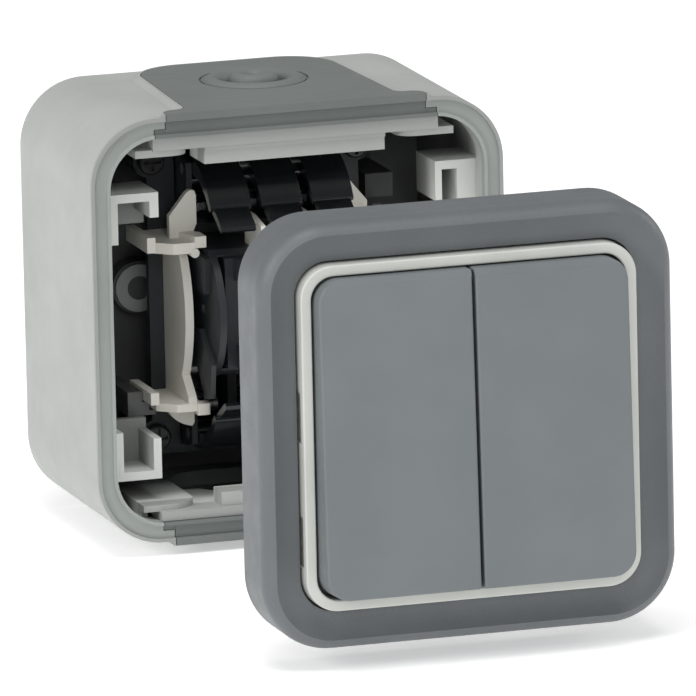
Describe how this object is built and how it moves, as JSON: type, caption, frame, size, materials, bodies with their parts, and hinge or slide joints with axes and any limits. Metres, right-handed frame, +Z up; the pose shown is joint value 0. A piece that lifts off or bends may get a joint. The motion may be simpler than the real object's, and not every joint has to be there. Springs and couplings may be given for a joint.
{
  "type": "rocker wall switch",
  "caption": "Double rocker wall switch in a square splash-proof surface box with soft cable glands; its framed front plugs in and is shown drawn out of the box.",
  "frame": {"origin": "centre of the box's flat back face, which lies on the wall", "axes": "+Z up, +Y into the wall, the front and its keys face -Y, +X to the right seen from the front"},
  "size_m": [0.074, 0.1427, 0.078],
  "materials": {
    "box_grey": "fine matt moulded light grey",
    "cover_grey": "fine spark-eroded mid grey",
    "key_grey": "smooth satin mid grey",
    "ring_pale": "smooth satin pale grey",
    "soft_gland": "matt soft elastomer",
    "soft_seal": "matt soft elastomer",
    "support_grey": "matt moulded",
    "ivory_plastic": "matt glass-filled ivory grey",
    "black_plastic": "matt moulded black",
    "lever_black": "glossy moulded black",
    "white_nylon": "natural nylon",
    "zinc_steel": "zinc plated",
    "black_steel": "black passivated",
    "spring_steel": "bright spring steel",
    "contact_brass": "rolled brass",
    "silver_tip": "silver alloy"
  },
  "bodies": {
    "box": {"box_shell": "box_grey", "rim_seal": "soft_seal", "screw_grommets": "soft_seal", "gland_top": "soft_gland", "gland_bottom": "soft_gland", "holder_top": "box_grey", "holder_bottom": "box_grey", "mounting_plate": "black_plastic", "side_bracket_left": "ivory_plastic", "side_bracket_right": "ivory_plastic", "carrier_screws": "black_steel", "module_base": "black_plastic", "module_cover": "black_plastic", "lever_dividers": "ivory_plastic", "lever_axles": "zinc_steel", "rocker_axle": "zinc_steel", "clamp_springs": "spring_steel", "common_contacts": "contact_brass", "traveller_contacts": "contact_brass", "contact_tips": "silver_tip"},
    "front": {"cover_frame": "cover_grey", "trim_ring": "ring_pale", "key_support": "support_grey", "splash_seal": "soft_seal", "stud_sleeves": "soft_seal", "key_pivot_pins": "spring_steel"},
    "key_left": {"key_left": "key_grey"},
    "key_right": {"key_right": "key_grey"},
    "rocker_left": {"rocker_left": "black_plastic", "plunger_left": "white_nylon", "plunger_spring_left": "spring_steel"},
    "teeter_left": {"teeter_contact_left": "contact_brass"},
    "rocker_right": {"rocker_right": "black_plastic", "plunger_right": "white_nylon", "plunger_spring_right": "spring_steel"},
    "teeter_right": {"teeter_contact_right": "contact_brass"},
    "release_lever_top_left": {"release_lever_top_left": "lever_black"},
    "release_lever_top_middle": {"release_lever_top_middle": "lever_black"},
    "release_lever_top_right": {"release_lever_top_right": "lever_black"},
    "release_lever_bottom_left": {"release_lever_bottom_left": "lever_black"},
    "release_lever_bottom_middle": {"release_lever_bottom_middle": "lever_black"},
    "release_lever_bottom_right": {"release_lever_bottom_right": "lever_black"}
  },
  "joints": [
    {"name": "front_slide", "type": "slide", "parent": "box", "child": "front", "axis": [0, 1, 0], "range_m": [0, 0.0818]},
    {"name": "key_left_tilt", "type": "hinge", "parent": "front", "child": "key_left", "pos_m": [-0.01357, -0.13407, 0], "axis": [1, 0, 0], "range_deg": [0, 4.4]},
    {"name": "rocker_left_tilt", "type": "hinge", "parent": "box", "child": "rocker_left", "pos_m": [-0.0062, -0.029, 0], "axis": [1, 0, 0], "range_deg": [0, 4.4]},
    {"name": "teeter_left_swing", "type": "hinge", "parent": "box", "child": "teeter_left", "pos_m": [-0.0062, -0.0146, 0], "axis": [1, 0, 0], "range_deg": [-12, 0]},
    {"name": "key_right_tilt", "type": "hinge", "parent": "front", "child": "key_right", "pos_m": [0.01357, -0.13407, 0], "axis": [1, 0, 0], "range_deg": [0, 4.4]},
    {"name": "rocker_right_tilt", "type": "hinge", "parent": "box", "child": "rocker_right", "pos_m": [0.0062, -0.029, 0], "axis": [1, 0, 0], "range_deg": [0, 4.4]},
    {"name": "teeter_right_swing", "type": "hinge", "parent": "box", "child": "teeter_right", "pos_m": [0.0062, -0.0146, 0], "axis": [1, 0, 0], "range_deg": [-12, 0]},
    {"name": "release_lever_top_left_press", "type": "hinge", "parent": "box", "child": "release_lever_top_left", "pos_m": [-0.0092, -0.021, 0.0234], "axis": [1, 0, 0], "range_deg": [0, 6], "stiffness_Nm_per_rad": 0.4},
    {"name": "release_lever_top_middle_press", "type": "hinge", "parent": "box", "child": "release_lever_top_middle", "pos_m": [0, -0.021, 0.0234], "axis": [1, 0, 0], "range_deg": [0, 6], "stiffness_Nm_per_rad": 0.4},
    {"name": "release_lever_top_right_press", "type": "hinge", "parent": "box", "child": "release_lever_top_right", "pos_m": [0.0092, -0.021, 0.0234], "axis": [1, 0, 0], "range_deg": [0, 6], "stiffness_Nm_per_rad": 0.4},
    {"name": "release_lever_bottom_left_press", "type": "hinge", "parent": "box", "child": "release_lever_bottom_left", "pos_m": [-0.0092, -0.021, -0.0234], "axis": [-1, 0, 0], "range_deg": [0, 6], "stiffness_Nm_per_rad": 0.4},
    {"name": "release_lever_bottom_middle_press", "type": "hinge", "parent": "box", "child": "release_lever_bottom_middle", "pos_m": [0, -0.021, -0.0234], "axis": [-1, 0, 0], "range_deg": [0, 6], "stiffness_Nm_per_rad": 0.4},
    {"name": "release_lever_bottom_right_press", "type": "hinge", "parent": "box", "child": "release_lever_bottom_right", "pos_m": [0.0092, -0.021, -0.0234], "axis": [-1, 0, 0], "range_deg": [0, 6], "stiffness_Nm_per_rad": 0.4}
  ],
  "couplings": [
    {"joint": "rocker_left_tilt", "follows": "key_left_tilt", "ratio": 1},
    {"joint": "teeter_left_swing", "follows": "key_left_tilt", "ratio": -2.727},
    {"joint": "rocker_right_tilt", "follows": "key_right_tilt", "ratio": 1},
    {"joint": "teeter_right_swing", "follows": "key_right_tilt", "ratio": -2.727}
  ]
}
